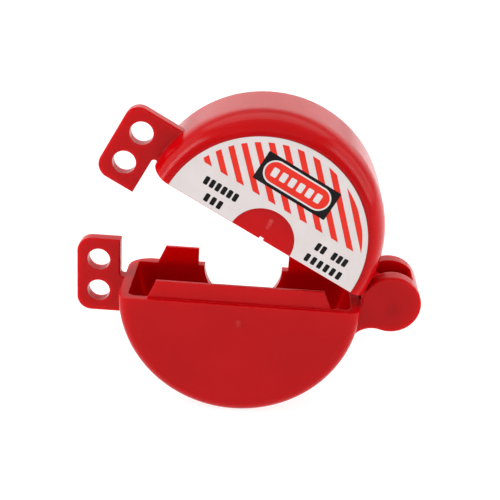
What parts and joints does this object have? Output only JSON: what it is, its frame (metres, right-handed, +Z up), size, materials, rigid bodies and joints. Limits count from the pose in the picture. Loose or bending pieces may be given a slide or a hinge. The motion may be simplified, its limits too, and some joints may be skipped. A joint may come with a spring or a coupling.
{
  "type": "handwheel valve lockout cover",
  "caption": "Hinged two-half plastic cover that closes around a valve handwheel, with stem notches and drilled ears for a padlock.",
  "frame": {"origin": "centre of the stem opening, on the outside of the lower half's back wall", "axes": "+Z up, front face and label towards -Y, hinge at +X, padlock ears at -X, valve stem along Y"},
  "size_m": [0.1193, 0.0372, 0.1069],
  "materials": {
    "red_plastic": "glossy moulded",
    "pin_steel": "plain drawn wire",
    "label_film": "satin printed film"
  },
  "bodies": {
    "lower_half": {"lower_shell": "red_plastic", "hinge_pin": "pin_steel"},
    "upper_half": {"upper_shell": "red_plastic", "front_label": "label_film"}
  },
  "joints": [
    {"name": "cover_hinge", "type": "hinge", "parent": "lower_half", "child": "upper_half", "pos_m": [0.0515, 0, 0.001], "axis": [0, 1, 0], "range_deg": [-28.5, 76]}
  ]
}
